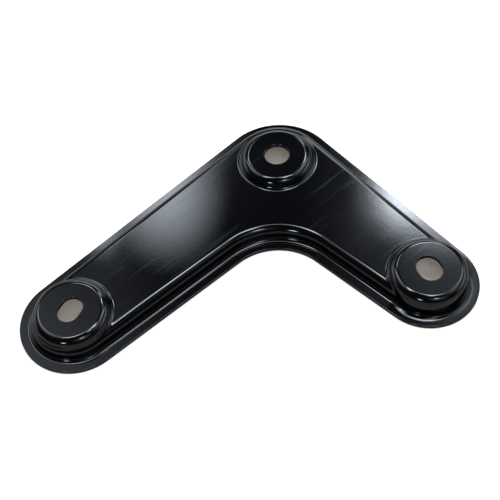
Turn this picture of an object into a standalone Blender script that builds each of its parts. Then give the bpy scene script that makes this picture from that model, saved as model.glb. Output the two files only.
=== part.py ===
"""Subframe mounting bracket: one pressed steel sheet with a flange all round,
a raised body shaped like a boomerang and three round bosses with bolt holes.

Frame: the sheet lies on its flange on the plane z = 0, with the middle of its
footprint on the Z axis, and its two arms open towards -Y. The plan is worked out
from the apex hole and moved to its place at the end. All sizes are in metres.
"""

import math

import bpy
import numpy as np
from mathutils import Vector
from mathutils.geometry import delaunay_2d_cdt

# Sheet thickness and bolt holes: one round hole at the apex, a slot at each end
SHEET = 0.0020
HOLE_DIAMETER = 0.0130
LEFT_SLOT = (0.0138, 0.0108)
RIGHT_SLOT = (0.0140, 0.0119)
SLOT_SPREAD = math.radians(26.5)

# Plan, from the apex hole to the two end holes
LEFT_ARM = 0.1348
RIGHT_ARM = 0.1028
ARM_ANGLE = math.radians(92.0)
INNER_CORNER_RADIUS = 0.0286

# Bosses: radius of the flat top, height above the body, lean of the wall
BOSS_FLAT_RADIUS = 0.0146
BOSS_HEIGHT = 0.0048
BOSS_WALL_LEAN = math.radians(8.0)
BOSS_EDGE_RADIUS = 0.0042
BOSS_FOOT_RADIUS = 0.0024

# Sheet left round the flat of each boss: left end, apex, right end
LEFT_MARGIN = 0.0124
APEX_MARGIN = 0.0166
RIGHT_MARGIN = 0.0105

# Raised body: flange left outside its wall, height above the flange, wall lean
FLANGE_WIDTH = 0.0058
BODY_HEIGHT = 0.0074
BODY_WALL_LEAN = math.radians(8.0)
BODY_EDGE_RADIUS = 0.0040
BODY_FOOT_RADIUS = 0.0020

# How finely the rounded edges, the bosses, the holes and the ends are divided
ARC_STEPS = 4
BOSS_STEPS = 42
HOLE_STEPS = 24
END_STEPS = 18
CORNER_STEPS = 8
SIDE_SPACING = 0.0040

# Choice of delaunay_2d_cdt: only the triangles inside the outermost line
INSIDE_LINES = 1

# Paint: black with a soft gloss
PAINT = (0.012, 0.013, 0.015, 1.0)
PAINT_ROUGHNESS = 0.22
PAINT_METALLIC = 0.0

# Places worked out from the sizes above
BOSS_SLOPE = math.pi / 2 - BOSS_WALL_LEAN
BODY_SLOPE = math.pi / 2 - BODY_WALL_LEAN
LEFT_END_RADIUS = BOSS_FLAT_RADIUS + LEFT_MARGIN
APEX_RADIUS = BOSS_FLAT_RADIUS + APEX_MARGIN
RIGHT_END_RADIUS = BOSS_FLAT_RADIUS + RIGHT_MARGIN
BODY_TOP = SHEET + BODY_HEIGHT
BOSS_TOP = BODY_TOP + BOSS_HEIGHT
DOWNWARD = -math.pi / 2


def clear_scene():
    for old in list(bpy.data.objects):
        bpy.data.objects.remove(old, do_unlink=True)


def direction(angle):
    return np.array([math.cos(angle), math.sin(angle)])


def left_normal(vector):
    return np.array([-vector[1], vector[0]])


LEFT_CENTRE = LEFT_ARM * direction(DOWNWARD - ARM_ANGLE / 2)
RIGHT_CENTRE = RIGHT_ARM * direction(DOWNWARD + ARM_ANGLE / 2)
APEX_CENTRE = np.zeros(2)
CENTRES = (LEFT_CENTRE, APEX_CENTRE, RIGHT_CENTRE)


def side_normal(start, start_radius, end, end_radius, side):
    """Outward unit normal of the straight edge that touches two end circles.
    Side is 1 on the left of the way from start to end and -1 on the right."""
    along = end - start
    length = np.linalg.norm(along)
    along = along / length
    lean = (start_radius - end_radius) / length
    return side * left_normal(along) * math.sqrt(1 - lean * lean) + along * lean


LEFT_OUTER = side_normal(LEFT_CENTRE, LEFT_END_RADIUS, APEX_CENTRE, APEX_RADIUS, 1)
LEFT_INNER = side_normal(LEFT_CENTRE, LEFT_END_RADIUS, APEX_CENTRE, APEX_RADIUS, -1)
RIGHT_OUTER = side_normal(APEX_CENTRE, APEX_RADIUS, RIGHT_CENTRE, RIGHT_END_RADIUS, 1)
RIGHT_INNER = side_normal(APEX_CENTRE, APEX_RADIUS, RIGHT_CENTRE, RIGHT_END_RADIUS, -1)
CORNER_REACH = APEX_RADIUS + INNER_CORNER_RADIUS
CORNER_CENTRE = np.linalg.solve(np.array([LEFT_INNER, RIGHT_INNER]), np.full(2, CORNER_REACH))


def arm_depth(points, start, start_radius, end, end_radius, both_sides):
    """How far each point lies inside one arm, the hull of two circles. Without
    both sides, only the side on the left of the way from start to end counts."""
    along = end - start
    length = np.linalg.norm(along)
    along = along / length
    lean = (start_radius - end_radius) / length
    slope = math.sqrt(1 - lean * lean)
    offset = points - start
    run = offset @ along
    aside = offset @ left_normal(along)
    reach = run * slope - np.abs(aside) * lean
    by_start = start_radius - np.linalg.norm(offset, axis=1)
    by_end = end_radius - np.linalg.norm(points - end, axis=1)
    by_side = start_radius - (np.abs(aside) * slope + run * lean)
    by_side = np.where(both_sides | (aside > 0), by_side, length)
    return np.where(reach < 0, by_start, np.where(reach > slope * length, by_end, by_side))


def arms_depth(points, both_sides):
    """How far each point lies inside the deeper one of the two arms."""
    left = arm_depth(
        points, LEFT_CENTRE, LEFT_END_RADIUS, APEX_CENTRE, APEX_RADIUS, both_sides)
    right = arm_depth(
        points, APEX_CENTRE, APEX_RADIUS, RIGHT_CENTRE, RIGHT_END_RADIUS, both_sides)
    return np.maximum(left, right)


def plan_depth(points):
    """How far each point lies inside the outline of the whole sheet. Points seen
    from the round inner corner, between its two ends, are measured from its arc."""
    offset = points - CORNER_CENTRE
    shares = np.linalg.solve(np.array([LEFT_INNER, RIGHT_INNER]).T, -offset.T)
    by_corner = np.linalg.norm(offset, axis=1) - INNER_CORNER_RADIUS
    by_corner = np.minimum(by_corner, arms_depth(points, False))
    return np.where((shares[0] > 0) & (shares[1] > 0), by_corner, arms_depth(points, True))


def wall_run(rise, edge_radius, slope):
    """Plan distance from the foot of a wall to the flat on top of it."""
    straight = rise - edge_radius * (1 - math.cos(slope))
    return straight / math.tan(slope) + edge_radius * math.sin(slope)


def fall(distance, edge_radius, slope):
    """Drop of a rounded edge and the wall below it, by plan distance."""
    arc_run = edge_radius * math.sin(slope)
    in_arc = np.clip(distance, 0, arc_run)
    arc_fall = edge_radius - np.sqrt(edge_radius ** 2 - in_arc ** 2)
    return arc_fall + np.maximum(distance - arc_run, 0) * math.tan(slope)


BODY_FLAT_INSET = FLANGE_WIDTH + wall_run(BODY_HEIGHT, BODY_EDGE_RADIUS, BODY_SLOPE)
BOSS_FOOT = BOSS_FLAT_RADIUS + wall_run(BOSS_HEIGHT, BOSS_EDGE_RADIUS, BOSS_SLOPE)
BOSS_REACH = BOSS_FOOT + BOSS_FOOT_RADIUS * math.tan(BOSS_SLOPE / 2)


def flange_height(points):
    return np.full(len(points), SHEET)


def body_height(points):
    distance = BODY_FLAT_INSET - plan_depth(points)
    return BODY_TOP - fall(distance, BODY_EDGE_RADIUS, BODY_SLOPE)


def boss_height(points):
    radii = [np.linalg.norm(points - centre, axis=1) for centre in CENTRES]
    distance = np.minimum.reduce(radii) - BOSS_FLAT_RADIUS
    return BOSS_TOP - fall(distance, BOSS_EDGE_RADIUS, BOSS_SLOPE)


def normals_of(height, points, step=1e-6):
    """Unit normals of a height surface, from its slopes in x and y."""
    slopes = []
    for shift in (np.array([step, 0.0]), np.array([0.0, step])):
        slopes.append((height(points + shift) - height(points - shift)) / (2 * step))
    normals = np.stack([-slopes[0], -slopes[1], np.ones(len(points))], axis=1)
    return normals / np.linalg.norm(normals, axis=1, keepdims=True)


def filleted(lower, upper, radius):
    """Joins two height surfaces by a ball rolled along the corner between them."""

    def height(points):
        low, high = lower(points), upper(points)
        low_normal, high_normal = normals_of(lower, points), normals_of(upper, points)
        a, b = low_normal[:, 2], high_normal[:, 2]
        cosine = np.sum(low_normal * high_normal, axis=1)
        p, q = radius + a * low, radius + b * high
        squared = a * a + b * b - 2 * cosine * a * b
        linear = p * a + q * b - cosine * (p * b + q * a)
        constant = p * p + q * q - 2 * cosine * p * q - (1 - cosine ** 2) * radius ** 2
        root = linear ** 2 - squared * constant
        crossing = (squared > 1e-9) & (root > 0)
        bottom = np.where(crossing, squared, 1)
        ball = (linear - np.sqrt(np.where(crossing, root, 0))) / bottom
        to_low, to_high = p - a * ball, q - b * ball
        rolled = crossing & (to_low > cosine * to_high) & (to_high > cosine * to_low)
        return np.where(rolled, ball, np.maximum(low, high))

    return height


raised_height = filleted(flange_height, body_height, BODY_FOOT_RADIUS)
pressed_height = filleted(raised_height, boss_height, BOSS_FOOT_RADIUS)


def arc_directions(start, end, steps):
    """Unit vectors from one direction to another, the short way round."""
    first = math.atan2(start[1], start[0])
    turn = math.atan2(end[1], end[0]) - first
    turn = (turn + math.pi) % (2 * math.pi) - math.pi
    return [direction(first + turn * step / steps) for step in range(steps + 1)]


def round_end(centre, radius, start, tip, end, steps):
    """Points and outward directions round one end, over its tip."""
    ways = arc_directions(start, tip, steps // 2)
    ways += arc_directions(tip, end, steps // 2)[1:]
    return [(centre + radius * way, way) for way in ways]


def side_points(start, end, way):
    """Points along a straight edge where it passes the bosses at its two ends."""
    run = end - start
    length = np.linalg.norm(run)
    near = [step * SIDE_SPACING for step in range(1, 1 + int(BOSS_REACH / SIDE_SPACING))]
    places = [place for place in near if place < length / 2]
    places += [length - place for place in reversed(places)]
    return [(start + run * place / length, way) for place in places]


def sheet_edge():
    """Points and outward directions round the sheet, clockwise from above."""
    left_tip = LEFT_CENTRE / LEFT_ARM
    right_tip = RIGHT_CENTRE / RIGHT_ARM
    left = round_end(
        LEFT_CENTRE, LEFT_END_RADIUS, LEFT_INNER, left_tip, LEFT_OUTER, END_STEPS)
    apex = round_end(
        APEX_CENTRE, APEX_RADIUS, LEFT_OUTER, direction(-DOWNWARD), RIGHT_OUTER, END_STEPS // 2)
    right = round_end(
        RIGHT_CENTRE, RIGHT_END_RADIUS, RIGHT_OUTER, right_tip, RIGHT_INNER, END_STEPS)
    corner = []
    for way in arc_directions(RIGHT_INNER, LEFT_INNER, CORNER_STEPS):
        corner.append((CORNER_CENTRE - INNER_CORNER_RADIUS * way, way))
    edge = []
    parts = (left, apex, right, corner)
    for part, following in zip(parts, parts[1:] + parts[:1]):
        edge += part
        edge += side_points(part[-1][0], following[0][0], part[-1][1])
    return edge


def level_points(starts, ways, near, far, level):
    """Where straight paths over the pressing cross a level, found by halving.
    Each path starts at its own point, and the pressing falls along it."""
    low = np.full(len(starts), near)
    high = np.full(len(starts), far)
    for _ in range(40):
        middle = (low + high) / 2
        above = pressed_height(starts + ways * middle[:, None]) > level
        low = np.where(above, middle, low)
        high = np.where(above, high, middle)
    return starts + ways * low[:, None]


def arc_falls(radius, slope):
    """Drops of a rounded edge where it has turned by equal steps."""
    return [radius * (1 - math.cos(slope * step / ARC_STEPS)) for step in range(1, ARC_STEPS + 1)]


def body_levels():
    """Heights of the lines round the body, from the flange up to its flat top."""
    levels = [SHEET + drop for drop in arc_falls(BODY_FOOT_RADIUS, BODY_SLOPE)]
    levels += [BODY_TOP - drop for drop in reversed(arc_falls(BODY_EDGE_RADIUS, BODY_SLOPE))]
    return levels


def boss_levels():
    """Heights of the rings round a boss, from the body up to its flat top."""
    levels = [BODY_TOP + drop for drop in arc_falls(BOSS_FOOT_RADIUS, BOSS_SLOPE)]
    levels += [BOSS_TOP - drop for drop in reversed(arc_falls(BOSS_EDGE_RADIUS, BOSS_SLOPE))]
    return levels


def ring_directions():
    turns = np.arange(BOSS_STEPS) * 2 * math.pi / BOSS_STEPS
    return np.stack([np.cos(turns), np.sin(turns)], axis=1)


def slot_rim(centre, size, way):
    """Rim of a slot with half-round ends, its long way along a direction."""
    length, width = size
    shift = way * (length - width) / 2
    across = left_normal(way)
    far = round_end(centre + shift, width / 2, -across, way, across, HOLE_STEPS // 2)
    near = round_end(centre - shift, width / 2, across, -way, -across, HOLE_STEPS // 2)
    return [point for point, _ in far + near]


def round_rim(centre, diameter):
    turns = np.arange(HOLE_STEPS) * 2 * math.pi / HOLE_STEPS
    return [centre + direction(turn) * diameter / 2 for turn in turns]


def hole_rims():
    left_way = direction(DOWNWARD - SLOT_SPREAD)
    right_way = direction(DOWNWARD + SLOT_SPREAD)
    return [
        slot_rim(LEFT_CENTRE, LEFT_SLOT, left_way),
        round_rim(APEX_CENTRE, HOLE_DIAMETER),
        slot_rim(RIGHT_CENTRE, RIGHT_SLOT, right_way),
    ]


def blank_loops():
    """Closed lines of the flat blank, along which the press bends the sheet."""
    edge = sheet_edge()
    starts = np.array([point for point, _ in edge])
    ways = np.array([way for _, way in edge])
    loops = [list(starts)]
    fillet_run = BODY_FOOT_RADIUS * math.tan(BODY_SLOPE / 2)
    loops.append(list(starts - ways * (FLANGE_WIDTH - fillet_run)))
    inner = starts - ways * BODY_FLAT_INSET
    for level in body_levels():
        loops.append(list(level_points(inner, ways, 0, BODY_FLAT_INSET, level)))
    around = ring_directions()
    for centre in CENTRES:
        middle = np.tile(centre, (BOSS_STEPS, 1))
        loops.append(list(middle + around * BOSS_FLAT_RADIUS))
        for level in boss_levels():
            loops.append(list(level_points(middle, around, BOSS_FLAT_RADIUS, BOSS_REACH, level)))
    return loops


def plateau_lines():
    """Points on the two lines that bound the flat top of the body."""
    edge = sheet_edge()
    points = [point - way * BODY_FLAT_INSET for point, way in edge]
    for centre in CENTRES:
        points += [centre + way * BOSS_REACH for way in ring_directions()]
    points = np.array(points)
    radii = [np.linalg.norm(points - centre, axis=1) for centre in CENTRES]
    clear_of_boss = np.minimum.reduce(radii) > BOSS_REACH - SHEET / 100
    inside_flat = plan_depth(points) > BODY_FLAT_INSET - SHEET / 100
    return points[clear_of_boss & inside_flat]


def flat_blank():
    """Triangles of the flat sheet, with its bend lines as fixed edges."""
    points, lines = [], []
    for loop in hole_rims() + blank_loops():
        first = len(points)
        points += loop
        numbers = list(range(first, len(points)))
        lines += list(zip(numbers, numbers[1:] + numbers[:1]))
    points += list(plateau_lines())
    flat = [Vector((float(x), float(y))) for x, y in points]
    result = delaunay_2d_cdt(flat, lines, [], INSIDE_LINES, 1e-6)
    return [tuple(point) for point in result[0]], [tuple(face) for face in result[2]]


def without_holes(points, faces):
    """Leaves out the triangles inside the rims of the bolt holes."""
    corners = np.array(points)
    middles = np.array([corners[list(face)].mean(axis=0) for face in faces])
    kept = np.full(len(faces), True)
    for rim in hole_rims():
        kept &= ~inside_loop(middles, np.array(rim))
    return [face for face, keep in zip(faces, kept) if keep]


def inside_loop(points, loop):
    """Which points lie inside a convex loop that runs anticlockwise."""
    inside = np.full(len(points), True)
    for start, end in zip(loop, np.roll(loop, -1, axis=0)):
        run = end - start
        offset = points - start
        inside &= run[0] * offset[:, 1] - run[1] * offset[:, 0] > 0
    return inside


def add_material():
    paint = bpy.data.materials.new("black_paint")
    paint.use_nodes = True
    shader = paint.node_tree.nodes["Principled BSDF"]
    shader.inputs["Base Color"].default_value = PAINT
    shader.inputs["Roughness"].default_value = PAINT_ROUGHNESS
    shader.inputs["Metallic"].default_value = PAINT_METALLIC
    return paint


def footprint_middle():
    """Middle of the box round the sheet, seen from above."""
    low_ends = [LEFT_CENTRE - LEFT_END_RADIUS, RIGHT_CENTRE - RIGHT_END_RADIUS]
    high_ends = [APEX_CENTRE + APEX_RADIUS, RIGHT_CENTRE + RIGHT_END_RADIUS]
    return (np.min(low_ends, axis=0) + np.max(high_ends, axis=0)) / 2


def add_bracket():
    """The upper surface of the pressing, given the thickness of the sheet."""
    points, faces = flat_blank()
    faces = without_holes(points, faces)
    heights = pressed_height(np.array(points))
    places = np.array(points) - footprint_middle()
    corners = [(float(x), float(y), float(z)) for (x, y), z in zip(places, heights)]
    mesh = bpy.data.meshes.new("subframe_bracket")
    mesh.from_pydata(corners, [], faces)
    mesh.materials.append(add_material())
    mesh.shade_smooth()
    bracket = bpy.data.objects.new("subframe_bracket", mesh)
    group = bpy.data.collections.new("subframe_bracket")
    bpy.context.scene.collection.children.link(group)
    group.objects.link(bracket)
    sheet = bracket.modifiers.new("sheet", "SOLIDIFY")
    sheet.thickness = SHEET
    sheet.offset = -1
    sheet.use_even_offset = True
    return bracket


clear_scene()
add_bracket()
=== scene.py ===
# %% [markdown]
# # A pressed steel bracket
#
# This lesson dresses the plain solid of a subframe mounting bracket for a
# picture. The real thing is one sheet of steel that a press has given a raised
# body, a flat flange all round and three low bosses with bolt holes. Satin black
# paint makes every bend show as a bright or a dark line, so the shape of the
# bends matters more here than anything else.
#
# We work in metres. The bracket lies on its flange, and the plan is worked out
# from the hole in the corner boss.

import math

import bpy
import numpy as np
from mathutils import Matrix, Vector
from mathutils.geometry import delaunay_2d_cdt


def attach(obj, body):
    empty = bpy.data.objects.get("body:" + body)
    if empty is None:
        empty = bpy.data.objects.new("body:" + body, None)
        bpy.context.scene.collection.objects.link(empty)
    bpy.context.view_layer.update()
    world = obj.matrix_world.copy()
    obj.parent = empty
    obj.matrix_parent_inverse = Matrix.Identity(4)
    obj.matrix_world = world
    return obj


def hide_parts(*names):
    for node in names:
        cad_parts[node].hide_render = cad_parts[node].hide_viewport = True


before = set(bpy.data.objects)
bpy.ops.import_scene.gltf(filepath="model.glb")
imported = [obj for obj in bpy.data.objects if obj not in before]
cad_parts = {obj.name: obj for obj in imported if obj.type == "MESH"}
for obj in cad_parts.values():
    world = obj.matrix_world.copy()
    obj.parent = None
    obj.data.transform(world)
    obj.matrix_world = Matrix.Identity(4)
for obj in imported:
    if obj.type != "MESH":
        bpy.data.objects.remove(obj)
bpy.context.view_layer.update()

# %% [markdown]
# ## The sizes
#
# These are the sizes that the press tool would be made from: the sheet, the
# holes, the plan of the arms and the sections of the two kinds of wall. Each is
# written once, and everything below is worked out from them.

# %% Sizes of the pressing
SHEET = 0.0020
HOLE_DIAMETER = 0.0130
LEFT_SLOT = (0.0138, 0.0108)
RIGHT_SLOT = (0.0140, 0.0119)
SLOT_SPREAD = math.radians(26.5)

LEFT_ARM = 0.1348
RIGHT_ARM = 0.1028
ARM_ANGLE = math.radians(92.0)
INNER_CORNER_RADIUS = 0.0286

BOSS_FLAT_RADIUS = 0.0146
BOSS_HEIGHT = 0.0048
BOSS_SLOPE = math.radians(82.0)
BOSS_EDGE_RADIUS = 0.0042
BOSS_FOOT_RADIUS = 0.0024

LEFT_END_RADIUS = BOSS_FLAT_RADIUS + 0.0124
APEX_RADIUS = BOSS_FLAT_RADIUS + 0.0166
RIGHT_END_RADIUS = BOSS_FLAT_RADIUS + 0.0105

FLANGE_WIDTH = 0.0058
BODY_HEIGHT = 0.0074
BODY_SLOPE = math.radians(82.0)
BODY_EDGE_RADIUS = 0.0040
BODY_FOOT_RADIUS = 0.0020

BODY_TOP = SHEET + BODY_HEIGHT
BOSS_TOP = BODY_TOP + BOSS_HEIGHT
DOWNWARD = -math.pi / 2

# %% [markdown]
# ## The plan
#
# Seen from above, the sheet is two tapered arms, each one the outline round two
# circles, with a round inner corner between them. A few small helpers give us
# directions and the straight edges that touch two circles.


# %% Directions and straight edges
def direction(angle):
    return np.array([math.cos(angle), math.sin(angle)])


def left_normal(vector):
    return np.array([-vector[1], vector[0]])


LEFT_CENTRE = LEFT_ARM * direction(DOWNWARD - ARM_ANGLE / 2)
RIGHT_CENTRE = RIGHT_ARM * direction(DOWNWARD + ARM_ANGLE / 2)
APEX_CENTRE = np.zeros(2)
CENTRES = (LEFT_CENTRE, APEX_CENTRE, RIGHT_CENTRE)


def side_normal(start, start_radius, end, end_radius, side):
    """Outward unit normal of the straight edge that touches two circles."""
    along = end - start
    length = np.linalg.norm(along)
    along = along / length
    lean = (start_radius - end_radius) / length
    return side * left_normal(along) * math.sqrt(1 - lean * lean) + along * lean


LEFT_OUTER = side_normal(LEFT_CENTRE, LEFT_END_RADIUS, APEX_CENTRE, APEX_RADIUS, 1)
LEFT_INNER = side_normal(LEFT_CENTRE, LEFT_END_RADIUS, APEX_CENTRE, APEX_RADIUS, -1)
RIGHT_OUTER = side_normal(APEX_CENTRE, APEX_RADIUS, RIGHT_CENTRE, RIGHT_END_RADIUS, 1)
RIGHT_INNER = side_normal(APEX_CENTRE, APEX_RADIUS, RIGHT_CENTRE, RIGHT_END_RADIUS, -1)
CORNER_REACH = APEX_RADIUS + INNER_CORNER_RADIUS
CORNER_CENTRE = np.linalg.solve(np.array([LEFT_INNER, RIGHT_INNER]), np.full(2, CORNER_REACH))


def footprint_middle():
    low_ends = [LEFT_CENTRE - LEFT_END_RADIUS, RIGHT_CENTRE - RIGHT_END_RADIUS]
    high_ends = [APEX_CENTRE + APEX_RADIUS, RIGHT_CENTRE + RIGHT_END_RADIUS]
    return (np.min(low_ends, axis=0) + np.max(high_ends, axis=0)) / 2


print("The corner hole stands at", (-footprint_middle()).round(4))

# %% [markdown]
# ## The press tool
#
# A real sheet gets its form from a die, and so does ours. The die is a function:
# for any point of the plan it gives the height of the sheet's upper face. It
# needs to know how far a point lies inside the outline, because the wall of the
# body follows the outline at a fixed distance.


# %% Depth inside the outline
def arm_depth(points, start, start_radius, end, end_radius, both_sides):
    """How far each point lies inside one arm. Without both sides, only the side
    on the left of the way from start to end counts."""
    along = end - start
    length = np.linalg.norm(along)
    along = along / length
    lean = (start_radius - end_radius) / length
    slope = math.sqrt(1 - lean * lean)
    offset = points - start
    run = offset @ along
    aside = offset @ left_normal(along)
    reach = run * slope - np.abs(aside) * lean
    by_start = start_radius - np.linalg.norm(offset, axis=1)
    by_end = end_radius - np.linalg.norm(points - end, axis=1)
    by_side = start_radius - (np.abs(aside) * slope + run * lean)
    by_side = np.where(both_sides | (aside > 0), by_side, length)
    return np.where(reach < 0, by_start, np.where(reach > slope * length, by_end, by_side))


def arms_depth(points, both_sides):
    left = arm_depth(
        points, LEFT_CENTRE, LEFT_END_RADIUS, APEX_CENTRE, APEX_RADIUS, both_sides)
    right = arm_depth(
        points, APEX_CENTRE, APEX_RADIUS, RIGHT_CENTRE, RIGHT_END_RADIUS, both_sides)
    return np.maximum(left, right)


def plan_depth(points):
    """How far each point lies inside the outline. Points seen from the round
    inner corner, between its two ends, are measured from its arc."""
    offset = points - CORNER_CENTRE
    shares = np.linalg.solve(np.array([LEFT_INNER, RIGHT_INNER]).T, -offset.T)
    by_corner = np.linalg.norm(offset, axis=1) - INNER_CORNER_RADIUS
    by_corner = np.minimum(by_corner, arms_depth(points, False))
    return np.where((shares[0] > 0) & (shares[1] > 0), by_corner, arms_depth(points, True))


# %% [markdown]
# Each wall has a rounded upper edge and a straight slope below it. Where a wall
# meets the sheet at its foot, the die has a round fillet: the path of a ball
# rolled along the corner. The same ball, rolled between a boss and the body,
# gives the soft line round each boss, also at the arms' ends, where the wall of
# the boss runs out over the rounded edge of the body. A Bevel modifier can't
# follow a corner that opens and closes like this, which is why the heights are
# worked out.


# %% Heights of the die
def wall_run(rise, edge_radius, slope):
    """Plan distance from the foot of a wall to the flat on top of it."""
    straight = rise - edge_radius * (1 - math.cos(slope))
    return straight / math.tan(slope) + edge_radius * math.sin(slope)


def fall(distance, edge_radius, slope):
    """Drop of a rounded edge and the wall below it, by plan distance."""
    arc_run = edge_radius * math.sin(slope)
    in_arc = np.clip(distance, 0, arc_run)
    arc_fall = edge_radius - np.sqrt(edge_radius ** 2 - in_arc ** 2)
    return arc_fall + np.maximum(distance - arc_run, 0) * math.tan(slope)


BODY_FLAT_INSET = FLANGE_WIDTH + wall_run(BODY_HEIGHT, BODY_EDGE_RADIUS, BODY_SLOPE)
BOSS_FOOT = BOSS_FLAT_RADIUS + wall_run(BOSS_HEIGHT, BOSS_EDGE_RADIUS, BOSS_SLOPE)
BOSS_REACH = BOSS_FOOT + BOSS_FOOT_RADIUS * math.tan(BOSS_SLOPE / 2)


def flange_height(points):
    return np.full(len(points), SHEET)


def body_height(points):
    distance = BODY_FLAT_INSET - plan_depth(points)
    return BODY_TOP - fall(distance, BODY_EDGE_RADIUS, BODY_SLOPE)


def boss_height(points):
    radii = [np.linalg.norm(points - centre, axis=1) for centre in CENTRES]
    distance = np.minimum.reduce(radii) - BOSS_FLAT_RADIUS
    return BOSS_TOP - fall(distance, BOSS_EDGE_RADIUS, BOSS_SLOPE)


def normals_of(height, points, step=1e-6):
    """Unit normals of a height surface, from its slopes in x and y."""
    slopes = []
    for shift in (np.array([step, 0.0]), np.array([0.0, step])):
        slopes.append((height(points + shift) - height(points - shift)) / (2 * step))
    normals = np.stack([-slopes[0], -slopes[1], np.ones(len(points))], axis=1)
    return normals / np.linalg.norm(normals, axis=1, keepdims=True)


def filleted(lower, upper, radius):
    """Joins two height surfaces by a ball rolled along the corner between them."""

    def height(points):
        low, high = lower(points), upper(points)
        low_normal, high_normal = normals_of(lower, points), normals_of(upper, points)
        a, b = low_normal[:, 2], high_normal[:, 2]
        cosine = np.sum(low_normal * high_normal, axis=1)
        p, q = radius + a * low, radius + b * high
        squared = a * a + b * b - 2 * cosine * a * b
        linear = p * a + q * b - cosine * (p * b + q * a)
        constant = p * p + q * q - 2 * cosine * p * q - (1 - cosine ** 2) * radius ** 2
        root = linear ** 2 - squared * constant
        crossing = (squared > 1e-9) & (root > 0)
        bottom = np.where(crossing, squared, 1)
        ball = (linear - np.sqrt(np.where(crossing, root, 0))) / bottom
        to_low, to_high = p - a * ball, q - b * ball
        rolled = crossing & (to_low > cosine * to_high) & (to_high > cosine * to_low)
        return np.where(rolled, ball, np.maximum(low, high))

    return height


raised_height = filleted(flange_height, body_height, BODY_FOOT_RADIUS)
pressed_height = filleted(raised_height, boss_height, BOSS_FOOT_RADIUS)
print("The body starts", round(BODY_FLAT_INSET * 1000, 2), "mm inside the edge")

# %% [markdown]
# ## The blank
#
# The blank is the flat sheet before it is pressed. Its mesh has lines where the
# press will bend it, close together over the rounded edges and far apart on the
# flats, so that each bend comes out smooth without wasting faces.

# %% How finely the blank is divided
ARC_STEPS = 10
BOSS_STEPS = 160
HOLE_STEPS = 96
END_STEPS = 72
CORNER_STEPS = 36
SIDE_SPACING = 0.0014
INSIDE_LINES = 1


# %% The edge of the sheet
def arc_directions(start, end, steps):
    """Unit vectors from one direction to another, the short way round."""
    first = math.atan2(start[1], start[0])
    turn = math.atan2(end[1], end[0]) - first
    turn = (turn + math.pi) % (2 * math.pi) - math.pi
    return [direction(first + turn * step / steps) for step in range(steps + 1)]


def round_end(centre, radius, start, tip, end, steps):
    """Points and outward directions round one end, over its tip."""
    ways = arc_directions(start, tip, steps // 2)
    ways += arc_directions(tip, end, steps // 2)[1:]
    return [(centre + radius * way, way) for way in ways]


def side_points(start, end, way):
    """Evenly spaced points along a straight edge, without its two ends."""
    steps = max(1, round(np.linalg.norm(end - start) / SIDE_SPACING))
    return [(start + (end - start) * step / steps, way) for step in range(1, steps)]


def sheet_edge():
    """Points and outward directions round the sheet, clockwise from above."""
    left_tip = LEFT_CENTRE / LEFT_ARM
    right_tip = RIGHT_CENTRE / RIGHT_ARM
    left = round_end(
        LEFT_CENTRE, LEFT_END_RADIUS, LEFT_INNER, left_tip, LEFT_OUTER, END_STEPS)
    apex = round_end(
        APEX_CENTRE, APEX_RADIUS, LEFT_OUTER, direction(-DOWNWARD), RIGHT_OUTER, END_STEPS // 2)
    right = round_end(
        RIGHT_CENTRE, RIGHT_END_RADIUS, RIGHT_OUTER, right_tip, RIGHT_INNER, END_STEPS)
    corner = []
    for way in arc_directions(RIGHT_INNER, LEFT_INNER, CORNER_STEPS):
        corner.append((CORNER_CENTRE - INNER_CORNER_RADIUS * way, way))
    edge = []
    parts = (left, apex, right, corner)
    for part, following in zip(parts, parts[1:] + parts[:1]):
        edge += part
        edge += side_points(part[-1][0], following[0][0], part[-1][1])
    return edge


EDGE = sheet_edge()
print("The edge of the sheet has", len(EDGE), "points")


# %% [markdown]
# The bend lines are level lines of the die, like those on a map. We find each of
# their points by walking inwards from the sheet's edge, or outwards from the
# middle of a boss, and halving the step until the height is right.


# %% The bend lines
def level_points(starts, ways, near, far, level):
    """Where straight paths over the pressing cross a level. The pressing falls
    along each path."""
    low = np.full(len(starts), near)
    high = np.full(len(starts), far)
    for _ in range(40):
        middle = (low + high) / 2
        above = pressed_height(starts + ways * middle[:, None]) > level
        low = np.where(above, middle, low)
        high = np.where(above, high, middle)
    return starts + ways * low[:, None]


def arc_falls(radius, slope):
    return [radius * (1 - math.cos(slope * step / ARC_STEPS)) for step in range(1, ARC_STEPS + 1)]


def fold_levels(foot, foot_radius, top, top_radius, slope):
    """Heights of the lines over one wall, from its foot fillet to its top."""
    levels = [foot + drop for drop in arc_falls(foot_radius, slope)]
    return levels + [top - drop for drop in reversed(arc_falls(top_radius, slope))]


def ring_directions():
    turns = np.arange(BOSS_STEPS) * 2 * math.pi / BOSS_STEPS
    return np.stack([np.cos(turns), np.sin(turns)], axis=1)


def body_loops():
    starts = np.array([point for point, _ in EDGE])
    ways = np.array([way for _, way in EDGE])
    fillet_run = BODY_FOOT_RADIUS * math.tan(BODY_SLOPE / 2)
    loops = [list(starts), list(starts - ways * (FLANGE_WIDTH - fillet_run))]
    inner = starts - ways * BODY_FLAT_INSET
    for level in fold_levels(SHEET, BODY_FOOT_RADIUS, BODY_TOP, BODY_EDGE_RADIUS, BODY_SLOPE):
        loops.append(list(level_points(inner, ways, 0, BODY_FLAT_INSET, level)))
    return loops


def boss_loops(centre):
    around = ring_directions()
    middle = np.tile(centre, (BOSS_STEPS, 1))
    loops = [list(middle + around * BOSS_FLAT_RADIUS)]
    for level in fold_levels(BODY_TOP, BOSS_FOOT_RADIUS, BOSS_TOP, BOSS_EDGE_RADIUS, BOSS_SLOPE):
        loops.append(list(level_points(middle, around, BOSS_FLAT_RADIUS, BOSS_REACH, level)))
    return loops


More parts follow.
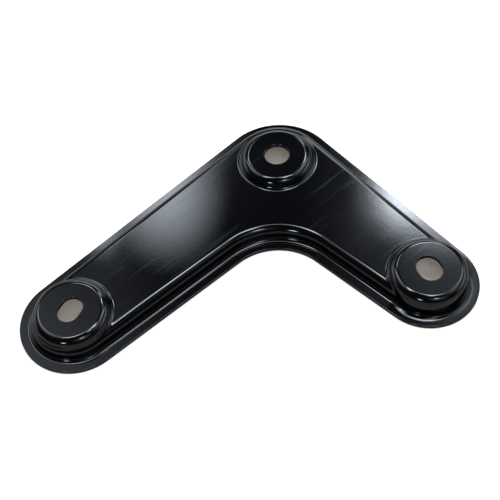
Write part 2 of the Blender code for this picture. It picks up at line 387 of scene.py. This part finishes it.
def plateau_points():
    """Points on the two lines that bound the flat top of the body."""
    points = [point - way * BODY_FLAT_INSET for point, way in EDGE]
    for centre in CENTRES:
        points += [centre + way * BOSS_REACH for way in ring_directions()]
    points = np.array(points)
    radii = [np.linalg.norm(points - centre, axis=1) for centre in CENTRES]
    clear_of_boss = np.minimum.reduce(radii) > BOSS_REACH - SHEET / 100
    inside_flat = plan_depth(points) > BODY_FLAT_INSET - SHEET / 100
    return list(points[clear_of_boss & inside_flat])


# %% [markdown]
# The corner hole is round, and the holes at the arms' ends are a little long, so
# that the bracket can be shifted before its bolts are tightened.


# %% The bolt holes
def slot_rim(centre, size, way):
    length, width = size
    shift = way * (length - width) / 2
    across = left_normal(way)
    far = round_end(centre + shift, width / 2, -across, way, across, HOLE_STEPS // 2)
    near = round_end(centre - shift, width / 2, across, -way, -across, HOLE_STEPS // 2)
    return [point for point, _ in far + near]


def round_rim(centre, diameter):
    turns = np.arange(HOLE_STEPS) * 2 * math.pi / HOLE_STEPS
    return [centre + direction(turn) * diameter / 2 for turn in turns]


HOLE_RIMS = [
    slot_rim(LEFT_CENTRE, LEFT_SLOT, direction(DOWNWARD - SLOT_SPREAD)),
    round_rim(APEX_CENTRE, HOLE_DIAMETER),
    slot_rim(RIGHT_CENTRE, RIGHT_SLOT, direction(DOWNWARD + SLOT_SPREAD)),
]


def inside_loop(points, loop):
    """Which points lie inside a convex loop that runs anticlockwise."""
    inside = np.full(len(points), True)
    for start, end in zip(loop, np.roll(loop, -1, axis=0)):
        run = end - start
        offset = points - start
        inside &= run[0] * offset[:, 1] - run[1] * offset[:, 0] > 0
    return inside


# %% The flat blank
def flat_blank():
    """Triangles of the flat sheet, with its bend lines as fixed edges."""
    loops = HOLE_RIMS + body_loops()
    for centre in CENTRES:
        loops += boss_loops(centre)
    points, lines = [], []
    for loop in loops:
        numbers = list(range(len(points), len(points) + len(loop)))
        points += loop
        lines += list(zip(numbers, numbers[1:] + numbers[:1]))
    points += plateau_points()
    flat = [Vector((float(x), float(y))) for x, y in points]
    result = delaunay_2d_cdt(flat, lines, [], INSIDE_LINES, 1e-6)
    corners = np.array([tuple(point) for point in result[0]])
    middles = np.array([corners[list(face)].mean(axis=0) for face in result[2]])
    kept = np.full(len(middles), True)
    for rim in HOLE_RIMS:
        kept &= ~inside_loop(middles, np.array(rim))
    return corners, [list(face) for face, keep in zip(result[2], kept) if keep]


blank_points, blank_faces = flat_blank()
print("The blank has", len(blank_points), "points and", len(blank_faces), "triangles")

# %% [markdown]
# ## Pressing the blank
#
# Now the die comes down: each point of the blank is lifted to its height, and
# the sheet gets its thickness from a Solidify modifier, which grows it downwards
# so that the underside follows the upper face, as on any pressing. In the few
# creases where that step overshoots, we set the underside back to the sheet's
# own thickness, or small spikes would hang below the table.


# %% The pressed sheet
MOST_THICKNESS = 1.5 * SHEET


def set_back_spikes(piece, upper):
    """The sheet's underside points follow its upper ones, in the same order."""
    places = np.empty(len(piece.data.vertices) * 3)
    piece.data.vertices.foreach_get("co", places)
    places = places.reshape(-1, 3)
    lower = places[len(upper):2 * len(upper)]
    too_far = np.linalg.norm(lower - upper, axis=1) > MOST_THICKNESS
    plan = upper[too_far, :2] + footprint_middle()
    lower[too_far] = upper[too_far] - SHEET * normals_of(pressed_height, plan)
    piece.data.vertices.foreach_set("co", places.ravel())
    print("Set back", int(too_far.sum()), "points of the underside")


def apply_modifiers(piece):
    bpy.ops.object.select_all(action="DESELECT")
    piece.select_set(True)
    bpy.context.view_layer.objects.active = piece
    for modifier in list(piece.modifiers):
        bpy.ops.object.modifier_apply(modifier=modifier.name)


def pressed_sheet():
    heights = pressed_height(blank_points)
    places = blank_points - footprint_middle()
    corners = [(float(x), float(y), float(z)) for (x, y), z in zip(places, heights)]
    mesh = bpy.data.meshes.new("pressed_sheet")
    mesh.from_pydata(corners, [], blank_faces)
    piece = bpy.data.objects.new("pressed_sheet", mesh)
    bpy.context.scene.collection.objects.link(piece)
    thickness = piece.modifiers.new("thickness", "SOLIDIFY")
    thickness.thickness = SHEET
    thickness.offset = -1
    thickness.use_even_offset = True
    apply_modifiers(piece)
    set_back_spikes(piece, np.array(corners))
    return piece


bracket = pressed_sheet()
print("The pressed sheet has", len(bracket.data.polygons), "faces")

# %% [markdown]
# The cut edges of a painted sheet are never razor sharp: deburring and paint
# round them over by a few tenths of a millimetre, and that thin round catches
# the light along the rim and in the holes. A Bevel modifier does this, because
# only the cut edges are sharper than its angle limit.

# %% Rounded cut edges
EDGE_ROUND = 0.00028
SHARP_BEND = math.radians(55.0)

rounding = bracket.modifiers.new("cut_edges", "BEVEL")
rounding.width = EDGE_ROUND
rounding.segments = 2
rounding.limit_method = "ANGLE"
rounding.angle_limit = SHARP_BEND
rounding.use_clamp_overlap = False
apply_modifiers(bracket)
bpy.ops.object.shade_smooth_by_angle(angle=SHARP_BEND)
print("With rounded edges it has", len(bracket.data.polygons), "faces")

# %% [markdown]
# A mirror-like coat gives away every wrong normal: shaded smooth, the flats
# would look domed next to their rounded edges. The die knows the true direction
# of the sheet at every point, so the upper face takes its normals from it. The
# cut edges and the underside keep the plain smooth shading.


# %% True normals
SAME_HEIGHT = SHEET / 1000


def true_normals(piece):
    mesh = piece.data
    places = np.empty(len(mesh.vertices) * 3)
    mesh.vertices.foreach_get("co", places)
    places = places.reshape(-1, 3)
    flat_places = places[:, :2] + footprint_middle()
    above = normals_of(pressed_height, flat_places)
    shaded = np.empty(len(mesh.loops) * 3)
    mesh.corner_normals.foreach_get("vector", shaded)
    shaded = shaded.reshape(-1, 3)
    owners = np.empty(len(mesh.loops), dtype=int)
    mesh.loops.foreach_get("vertex_index", owners)
    on_top = np.abs(pressed_height(flat_places) - places[:, 2]) < SAME_HEIGHT
    picked = on_top[owners]
    shaded[picked] = above[owners[picked]]
    mesh.normals_split_custom_set([tuple(normal) for normal in shaded.tolist()])


true_normals(bracket)

# %% [markdown]
# ## The paint
#
# The bracket is dipped in black paint and baked. The coat is smooth but not a
# mirror: soft reflections, a little orange peel, faint scuffs from handling and a
# little dust. Everything reads Object coordinates, so the marks stay in place
# when the bracket turns.


# %% Helpers for the paint's marks
def add_noise(tree, scale, detail, stretch=(1.0, 1.0, 1.0), turn=0.0):
    """Noise drawn out by the stretch, along directions turned from the object's own."""
    place = tree.nodes.new("ShaderNodeTexCoord")
    mapping = tree.nodes.new("ShaderNodeMapping")
    mapping.vector_type = "TEXTURE"
    mapping.inputs["Scale"].default_value = stretch
    mapping.inputs["Rotation"].default_value = (0.0, 0.0, turn)
    noise = tree.nodes.new("ShaderNodeTexNoise")
    noise.inputs["Scale"].default_value = scale
    noise.inputs["Detail"].default_value = detail
    tree.links.new(place.outputs["Object"], mapping.inputs["Vector"])
    tree.links.new(mapping.outputs["Vector"], noise.inputs["Vector"])
    return noise.outputs["Fac"]


def add_range(tree, value, source, result):
    ranged = tree.nodes.new("ShaderNodeMapRange")
    ranged.inputs["From Min"].default_value = source[0]
    ranged.inputs["From Max"].default_value = source[1]
    ranged.inputs["To Min"].default_value = result[0]
    ranged.inputs["To Max"].default_value = result[1]
    tree.links.new(value, ranged.inputs["Value"])
    return ranged.outputs["Result"]


def add_sum(tree, first, second):
    total = tree.nodes.new("ShaderNodeMath")
    tree.links.new(first, total.inputs[0])
    tree.links.new(second, total.inputs[1])
    return total.outputs["Value"]


# %% [markdown]
# The scuffs are fine streaks along the long arm, where brackets slide over one
# another in a box. Dust is sparse and only just lighter than the paint. The
# grains are counted per metre, since Object coordinates are in metres.

# %% Black paint
PAINT_COLOUR = (0.0018, 0.0020, 0.0026, 1.0)
DUST_COLOUR = (0.020, 0.020, 0.019, 1.0)
GLOSS_ROUGHNESS = (0.045, 0.075)
SCUFF_ROUGHNESS = (0.0, 0.07)
PEEL_HEIGHT = 0.0000035

PATCH_GRAIN = 30.0
SCUFF_GRAIN = 60.0
DUST_GRAIN = 900.0
PEEL_GRAIN = 420.0
SCUFF_STRETCH = (3.0, 0.12, 1.0)
LONG_ARM_TURN = DOWNWARD - ARM_ANGLE / 2


def black_paint():
    paint = bpy.data.materials.new("black_paint")
    paint.use_nodes = True
    tree = paint.node_tree
    shader = tree.nodes["Principled BSDF"]
    shader.inputs["IOR"].default_value = 1.5
    patches = add_range(tree, add_noise(tree, PATCH_GRAIN, 3.0), (0.35, 0.7), GLOSS_ROUGHNESS)
    streaks = add_noise(tree, SCUFF_GRAIN, 4.0, SCUFF_STRETCH, LONG_ARM_TURN)
    scuffs = add_range(tree, streaks, (0.58, 0.78), SCUFF_ROUGHNESS)
    tree.links.new(add_sum(tree, patches, scuffs), shader.inputs["Roughness"])
    specks = add_range(tree, add_noise(tree, DUST_GRAIN, 2.0), (0.70, 0.80), (0.0, 1.0))
    tint = tree.nodes.new("ShaderNodeMix")
    tint.data_type = "RGBA"
    tint.inputs[6].default_value = PAINT_COLOUR
    tint.inputs[7].default_value = DUST_COLOUR
    tree.links.new(specks, tint.inputs[0])
    tree.links.new(tint.outputs[2], shader.inputs["Base Color"])
    peel = tree.nodes.new("ShaderNodeBump")
    peel.inputs["Distance"].default_value = PEEL_HEIGHT
    tree.links.new(add_noise(tree, PEEL_GRAIN, 2.0), peel.inputs["Height"])
    tree.links.new(peel.outputs["Normal"], shader.inputs["Normal"])
    return paint


bracket.data.materials.clear()
bracket.data.materials.append(black_paint())
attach(bracket, "root")
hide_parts("subframe_bracket")

# %% [markdown]
# ## The table
#
# The bracket lies on a pale table that a photographer would burn out to white. We let the table
# glow white for the camera alone, and only where it is open to the sky. Under the bracket and
# behind its holes the glow is painted shade: an ambient occlusion ramp turns it down to a dim
# beige, so the camera sees shade painted into the table's glow there. In the paint's reflections
# the table is plain beige, lit by the lamps.


# %% Table
TABLE_SIZE = 16.0
TABLE_COLOUR = (0.42, 0.38, 0.33, 1.0)
# Painted shade: the dim beige glow the camera sees where the bracket covers the table.
PAINTED_SHADE_GLOW = (0.10, 0.08, 0.06, 1.0)
OPEN_GLOW = (0.88, 0.88, 0.88, 1.0)
SHADE_REACH = 0.025


def white_table():
    bpy.ops.object.select_all(action="DESELECT")
    bpy.ops.mesh.primitive_plane_add(size=TABLE_SIZE, location=(0.0, 0.0, 0.0))
    table = bpy.context.active_object
    table.name = "table"
    cover = bpy.data.materials.new("white_table")
    cover.use_nodes = True
    tree = cover.node_tree
    shader = tree.nodes["Principled BSDF"]
    shader.inputs["Base Color"].default_value = TABLE_COLOUR
    shader.inputs["Roughness"].default_value = 0.7
    # Painted shade: ambient occlusion sets the camera's glow, from dim beige under the bracket
    # and in the holes to white in the open.
    openness = tree.nodes.new("ShaderNodeAmbientOcclusion")
    openness.inputs["Distance"].default_value = SHADE_REACH
    glow = tree.nodes.new("ShaderNodeValToRGB")
    glow.color_ramp.elements[0].color = PAINTED_SHADE_GLOW
    glow.color_ramp.elements[0].position = 0.1
    glow.color_ramp.elements[1].position = 0.7
    glow.color_ramp.elements[1].color = OPEN_GLOW
    seen_by = tree.nodes.new("ShaderNodeLightPath")
    tree.links.new(openness.outputs["AO"], glow.inputs["Fac"])
    tree.links.new(glow.outputs["Color"], shader.inputs["Emission Color"])
    tree.links.new(seen_by.outputs["Is Camera Ray"], shader.inputs["Emission Strength"])
    table.data.materials.append(cover)
    return table


table = white_table()

# %% [markdown]
# ## The camera
#
# The picture was taken by hand from in front and well above. The camera stands
# where the outline, the three holes and the bosses all fall in their places. Its
# place is measured from the middle of the corner hole, on the table.

# %% Camera
CAMERA_FROM_HOLE = Vector((0.02030, -0.33495, 0.41647))
CAMERA_PITCH = math.radians(55.49)
CAMERA_HEADING = math.radians(6.74)
CAMERA_ROLL = math.radians(-6.0)
FOCAL_PIXELS = 1000.0
IMAGE_PIXELS = 500.0
SENSOR_WIDTH = 36.0


def photo_camera():
    data = bpy.data.cameras.new("photo_camera")
    data.sensor_width = SENSOR_WIDTH
    data.lens = FOCAL_PIXELS / IMAGE_PIXELS * data.sensor_width
    camera = bpy.data.objects.new("photo_camera", data)
    bpy.context.scene.collection.objects.link(camera)
    turn = Matrix.Rotation(CAMERA_HEADING, 4, "Z")
    tilt = Matrix.Rotation(math.pi / 2 - CAMERA_PITCH, 4, "X")
    roll = Matrix.Rotation(CAMERA_ROLL, 4, "Z")
    hole = Vector((*-footprint_middle(), 0.0))
    camera.matrix_world = Matrix.Translation(hole + CAMERA_FROM_HOLE) @ turn @ tilt @ roll
    return camera


bpy.context.scene.camera = photo_camera()

# %% [markdown]
# ## The light
#
# Black gloss paint shows little but its surroundings, so each lamp is placed by
# where it must be mirrored. Directions are seen from the bracket: the azimuth
# turns from the far side towards the right, and the elevation is the height
# over the table. Widths and heights are in degrees too.


# %% Placing a lamp by its direction
LAMP_DISTANCE = 5.0
DAYLIGHT = (0.82, 0.90, 1.0)
LAMP_MIDDLE = (0.5, 0.5, 0.0)
LAMP_RIM = 0.5


def towards(azimuth, elevation):
    across = math.cos(math.radians(elevation))
    east = across * math.sin(math.radians(azimuth))
    north = across * math.cos(math.radians(azimuth))
    return Vector((east, north, math.sin(math.radians(elevation))))


def soften(data):
    """Fades the lamp smoothly from its middle to nothing at its rim."""
    data.use_nodes = True
    tree = data.node_tree
    spot = tree.nodes.new("ShaderNodeNewGeometry")
    reach = tree.nodes.new("ShaderNodeVectorMath")
    reach.operation = "DISTANCE"
    reach.inputs[1].default_value = LAMP_MIDDLE
    fade = tree.nodes.new("ShaderNodeMapRange")
    fade.interpolation_type = "SMOOTHSTEP"
    fade.inputs["From Min"].default_value = LAMP_RIM
    fade.inputs["From Max"].default_value = 0.0
    tree.links.new(spot.outputs["Parametric"], reach.inputs[0])
    tree.links.new(reach.outputs["Value"], fade.inputs["Value"])
    tree.links.new(fade.outputs["Result"], tree.nodes["Emission"].inputs["Strength"])


def lamp(name, place, size, brightness):
    """An oval lamp in the direction (azimuth, elevation), facing the bracket."""
    width, height = (2 * LAMP_DISTANCE * math.tan(math.radians(part) / 2) for part in size)
    data = bpy.data.lights.new(name, "AREA")
    data.shape = "ELLIPSE"
    data.size, data.size_y = width, height
    data.energy = brightness * math.pi * width * height
    data.color = DAYLIGHT
    soften(data)
    made = bpy.data.objects.new(name, data)
    bpy.context.scene.collection.objects.link(made)
    way = towards(*place)
    turn = way.to_track_quat("Z", "Y").to_matrix().to_4x4()
    made.matrix_world = Matrix.Translation(way * LAMP_DISTANCE) @ turn


# %% [markdown]
# The flat top of the body mirrors two windows, one in each arm. Each is a main
# pane with a brighter part beside it and a dimmer one below, because curtains
# and frames break a real window up in the same way.

# %% Windows
lamp("left_window", (-15.0, 50.5), (9.0, 12.0), 8.0)
lamp("left_window_side", (-22.0, 50.5), (4.0, 8.0), 15.0)
lamp("left_window_foot", (-12.0, 46.5), (9.0, 9.0), 6.0)
lamp("right_window", (13.0, 51.5), (12.0, 9.0), 13.0)
lamp("right_window_side", (9.5, 50.5), (5.0, 9.0), 22.0)
lamp("right_window_foot", (5.0, 46.0), (6.0, 10.0), 6.0)

# %% [markdown]
# The rounded edges sweep over the whole room. Two long ceiling lights, one on
# each side of the picture, draw the bright lines along the edges and round the
# bosses. Broad panels at the sides fill in between, and they bring the light to
# a plain level on the table.

# %% Ceiling lights and side panels
lamp("ceiling_light_left", (-46.0, 75.0), (30.0, 10.0), 16.0)
lamp("ceiling_light_right", (30.0, 75.0), (30.0, 10.0), 16.0)
lamp("panel_left", (-60.0, 58.0), (50.0, 50.0), 1.6)
lamp("panel_right", (60.0, 58.0), (80.0, 40.0), 1.4)
lamp("narrow_panel_left", (-50.0, 50.0), (13.0, 44.0), 4.0)
lamp("narrow_panel_right", (47.0, 50.0), (13.0, 44.0), 4.0)
lamp("low_panel_left", (-60.0, 12.0), (80.0, 40.0), 1.6)
lamp("low_panel_right", (75.0, 22.0), (80.0, 40.0), 1.8)

# %% [markdown]
# The far rim and the far side of each boss mirror the room's far end. Three
# small lights, two in front and one overhead, give the short highlights on the
# near side of each boss.

# %% Far end and small lights
lamp("far_wall", (0.0, 14.0), (70.0, 30.0), 3.0)
lamp("far_light", (15.0, 34.0), (14.0, 14.0), 9.0)
lamp("front", (150.0, 46.0), (50.0, 50.0), 0.7)
lamp("front_low", (201.0, 25.0), (15.0, 12.0), 26.0)
lamp("front_high", (154.0, 54.0), (15.0, 11.0), 16.0)
lamp("overhead", (52.0, 81.0), (12.0, 9.0), 18.0)

# %% [markdown]
# Round the lamps the room is nearly black, which keeps the middle of the body
# dark. Only the camera sees it as white.


# %% World
ROOM_LIGHT = 0.03


def dark_room():
    world = bpy.data.worlds.new("room")
    world.use_nodes = True
    tree = world.node_tree
    seen_by = tree.nodes.new("ShaderNodeLightPath")
    strength = tree.nodes.new("ShaderNodeMath")
    strength.operation = "MAXIMUM"
    strength.inputs[1].default_value = ROOM_LIGHT
    tree.links.new(seen_by.outputs["Is Camera Ray"], strength.inputs[0])
    tree.links.new(strength.outputs["Value"], tree.nodes["Background"].inputs["Strength"])
    tree.nodes["Background"].inputs["Color"].default_value = (1.0, 1.0, 1.0, 1.0)
    return world


bpy.context.scene.world = dark_room()
bpy.context.scene.view_settings.view_transform = "Standard"
